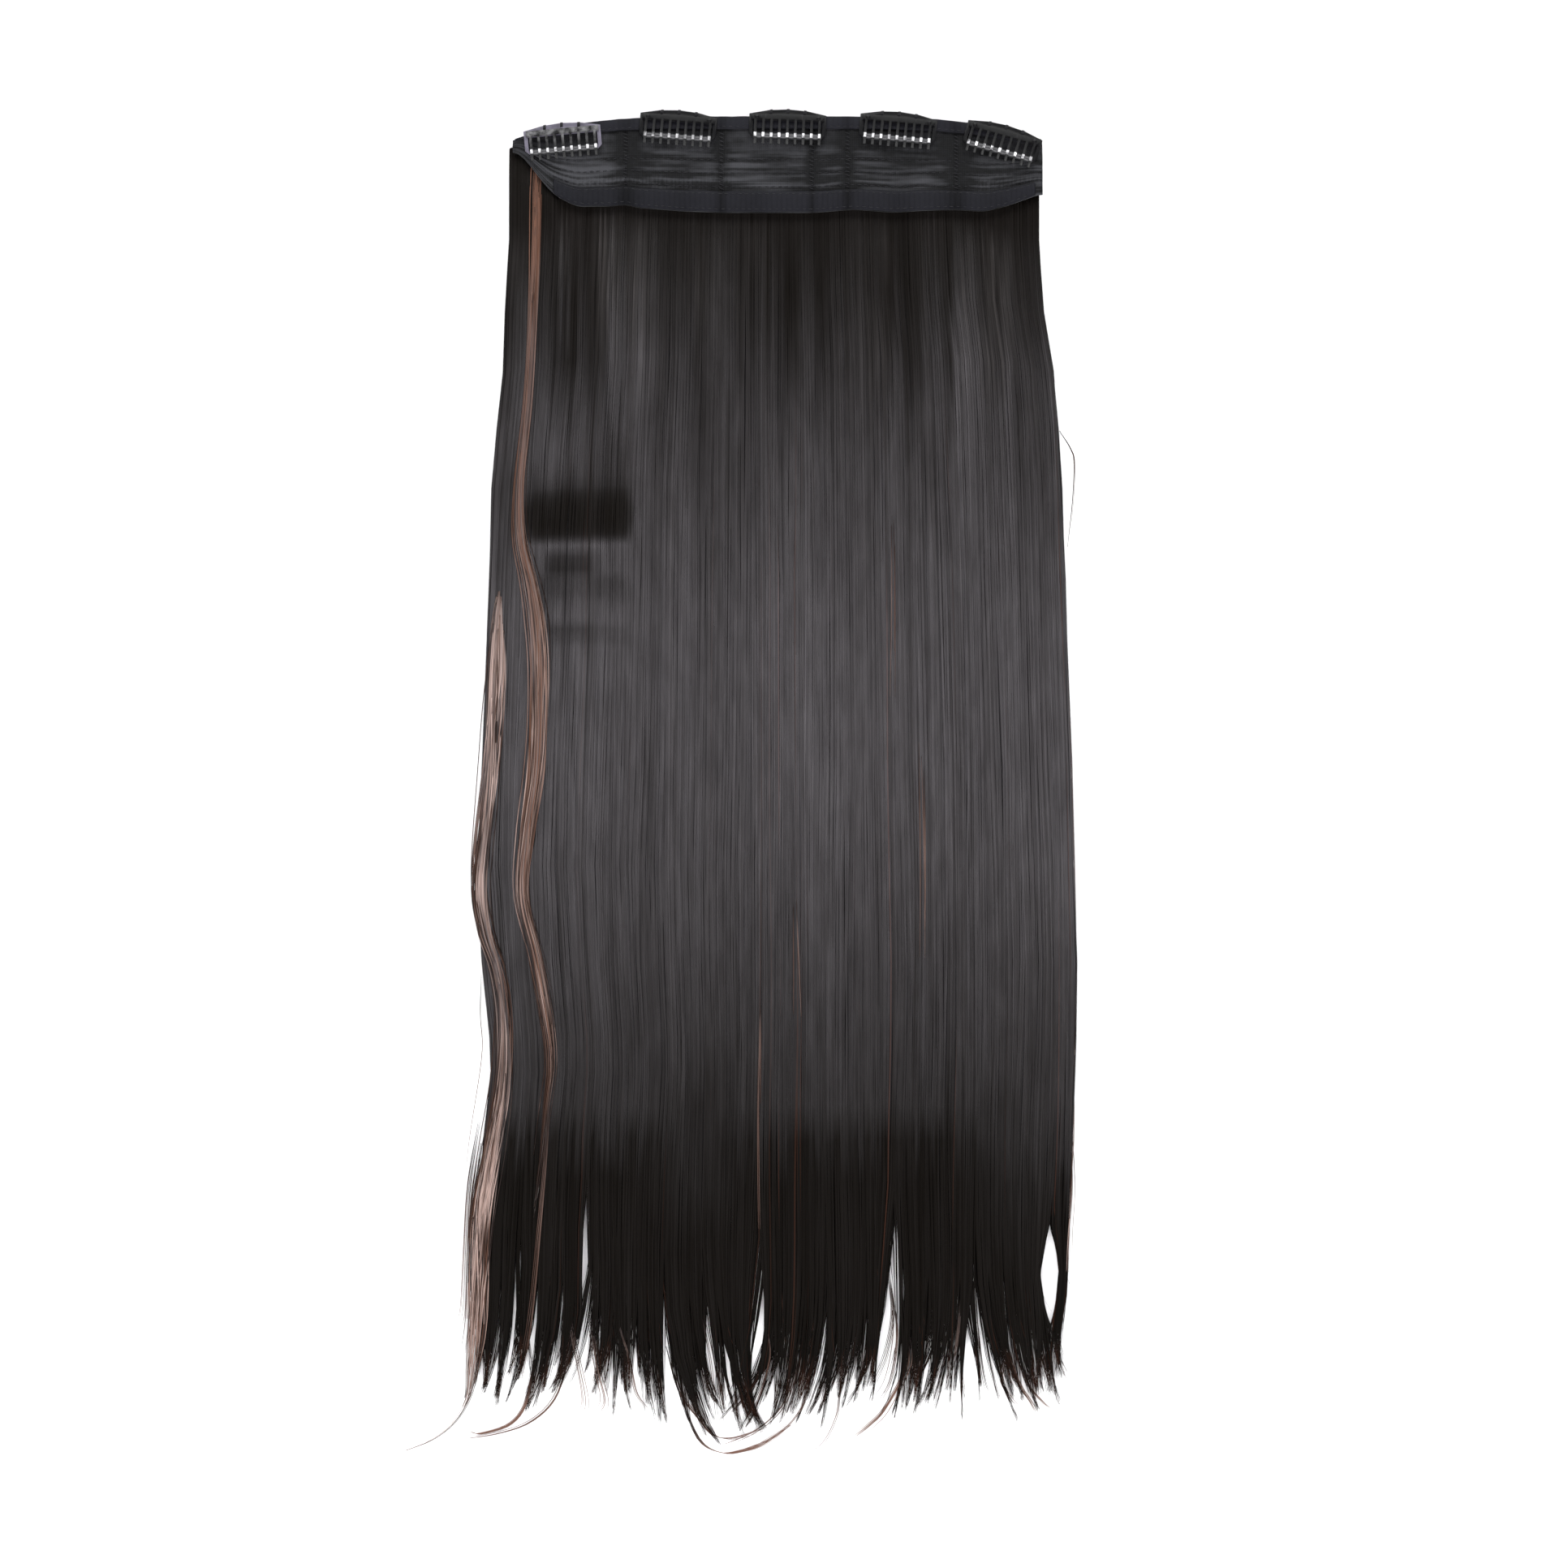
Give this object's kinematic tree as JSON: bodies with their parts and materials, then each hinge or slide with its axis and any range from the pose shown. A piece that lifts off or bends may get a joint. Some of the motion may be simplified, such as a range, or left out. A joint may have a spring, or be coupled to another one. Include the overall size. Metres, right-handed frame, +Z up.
{
  "type": "clip in hair extension",
  "caption": "Long straight dark hairpiece sewn in rows under an arched lace band with snap comb clips and thin chestnut locks; lies flat, clips up.",
  "frame": {"origin": "on the table under the middle of the whole piece", "axes": "+X along the band, to the right as seen from above with the band at the top; +Y from the tips to the band; +Z up from the table, the side with the clips"},
  "size_m": [0.3136, 0.6278, 0.0116],
  "materials": {
    "hair": "straight synthetic hair, soft grey sheen",
    "chestnut_hair": "straight synthetic hair, chestnut",
    "lace": "fine dark lace cloth with stitched pleats",
    "ribbon": "smooth woven ribbon",
    "clip_lacquer": "black lacquer on sheet steel",
    "comb_steel": "black lacquer, worn to bright steel on the bends of the teeth",
    "clip_silicone": "dark silicone tube"
  },
  "bodies": {
    "hairpiece": {"lace_panel_1": "lace", "lace_panel_2": "lace", "lace_panel_3": "lace", "lace_panel_4": "lace", "lace_panel_5": "lace", "lace_panel_6": "lace", "top_binding": "ribbon", "hem_band": "ribbon", "hair_row_1": "hair", "hair_row_2": "hair", "hair_row_3": "hair", "hair_row_4": "hair", "chestnut_lock_inner": "chestnut_hair", "chestnut_lock_outer": "chestnut_hair", "clip_frame_1": "clip_lacquer", "clip_frame_2": "clip_lacquer", "clip_frame_3": "clip_lacquer", "clip_frame_4": "clip_lacquer", "clip_frame_5": "clip_lacquer", "clip_sleeve_1": "clip_silicone", "clip_sleeve_2": "clip_silicone", "clip_sleeve_3": "clip_silicone", "clip_sleeve_4": "clip_silicone", "clip_sleeve_5": "clip_silicone"},
    "comb_1": {"clip_comb_1": "comb_steel"},
    "comb_2": {"clip_comb_2": "comb_steel"},
    "comb_3": {"clip_comb_3": "comb_steel"},
    "comb_4": {"clip_comb_4": "comb_steel"},
    "comb_5": {"clip_comb_5": "comb_steel"}
  },
  "joints": [
    {"name": "clip_snap_1", "type": "hinge", "parent": "hairpiece", "child": "comb_1", "pos_m": [-0.08375, 0.30482, 0.00563], "axis": [-0.9954, -0.0947, 0.0148], "range_deg": [0, 40]},
    {"name": "clip_snap_2", "type": "hinge", "parent": "hairpiece", "child": "comb_2", "pos_m": [-0.02906, 0.31085, 0.00468], "axis": [-0.9969, 0.0775, -0.0121], "range_deg": [0, 40]},
    {"name": "clip_snap_3", "type": "hinge", "parent": "hairpiece", "child": "comb_3", "pos_m": [0.0219, 0.31126, 0.00462], "axis": [-0.9994, 0.0345, -0.0054], "range_deg": [0, 40]},
    {"name": "clip_snap_4", "type": "hinge", "parent": "hairpiece", "child": "comb_4", "pos_m": [0.07381, 0.31009, 0.0048], "axis": [-0.9954, 0.0947, -0.0148], "range_deg": [0, 40]},
    {"name": "clip_snap_5", "type": "hinge", "parent": "hairpiece", "child": "comb_5", "pos_m": [0.12353, 0.30379, 0.00579], "axis": [-0.9613, 0.2723, -0.0426], "range_deg": [0, 40]}
  ]
}
